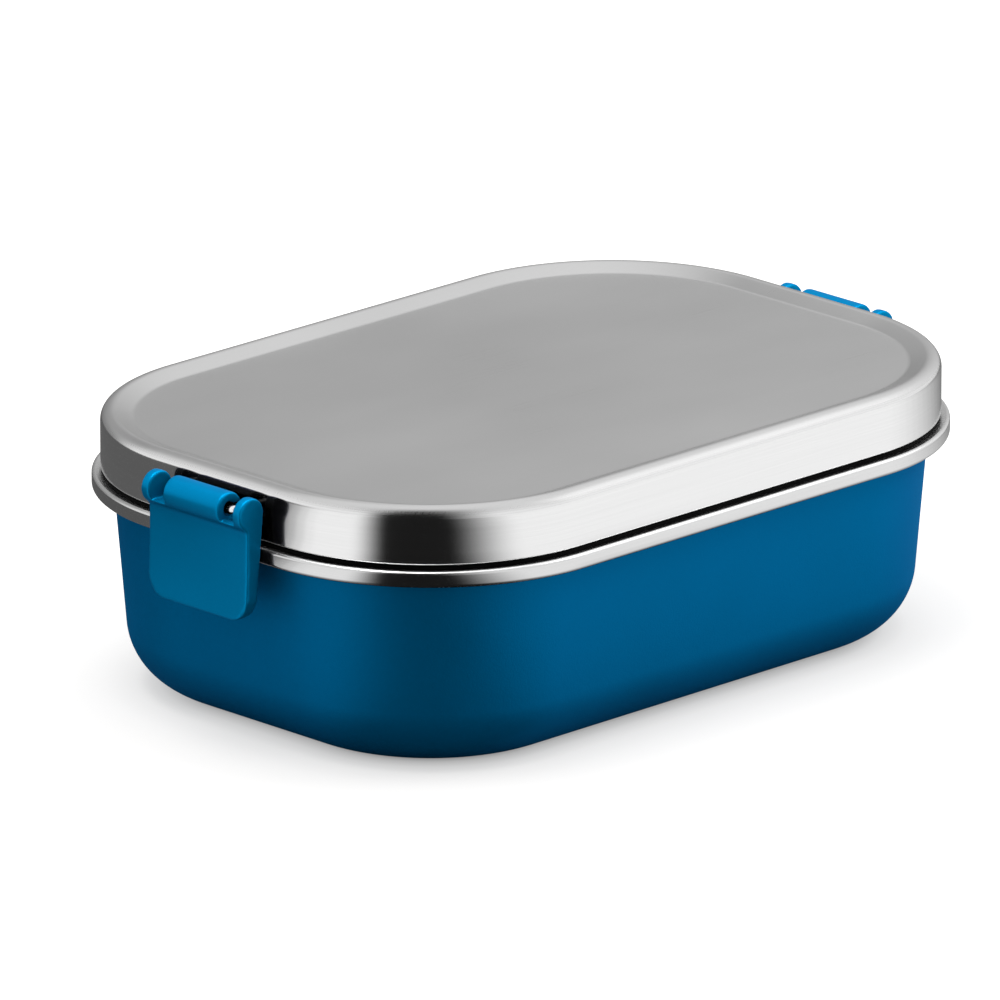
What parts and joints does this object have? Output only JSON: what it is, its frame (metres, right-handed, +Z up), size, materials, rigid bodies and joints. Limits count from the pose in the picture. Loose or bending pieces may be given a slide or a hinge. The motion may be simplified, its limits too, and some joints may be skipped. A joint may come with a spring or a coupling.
{
  "type": "lunch box",
  "caption": "Rounded rectangular steel lunch box: painted tub with a rolled rim, brushed lift-off lid with a black seal, and end clips that swing on wire bails and hook under the rim.",
  "frame": {"origin": "middle of the tub's flat floor, on the surface the box stands on", "axes": "+X along the box's long side, towards the right clip; +Y across the box; +Z up through the lid"},
  "size_m": [0.2294, 0.151, 0.0712],
  "materials": {
    "blue_paint": "satin powder coat on steel",
    "steel": "brushed along the box, brighter on the skirt",
    "seal": "matte black silicone",
    "wire": "bright drawn wire",
    "clip": "satin moulded plastic"
  },
  "bodies": {
    "base": {"base_tub": "blue_paint"},
    "lid": {"lid_shell": "steel", "lid_gasket": "seal", "bail_left": "wire", "bail_right": "wire"},
    "clip_left": {"clip_left": "clip"},
    "clip_right": {"clip_right": "clip"}
  },
  "joints": [
    {"name": "lid_lift", "type": "slide", "parent": "base", "child": "lid", "axis": [0, 0, 1], "range_m": [0, 0.08]},
    {"name": "clip_left_swing", "type": "hinge", "parent": "lid", "child": "clip_left", "pos_m": [-0.1105, 0, 0.0647], "axis": [0, 1, 0], "range_deg": [0, 190]},
    {"name": "clip_right_swing", "type": "hinge", "parent": "lid", "child": "clip_right", "pos_m": [0.1105, 0, 0.0647], "axis": [0, -1, 0], "range_deg": [0, 190]}
  ]
}
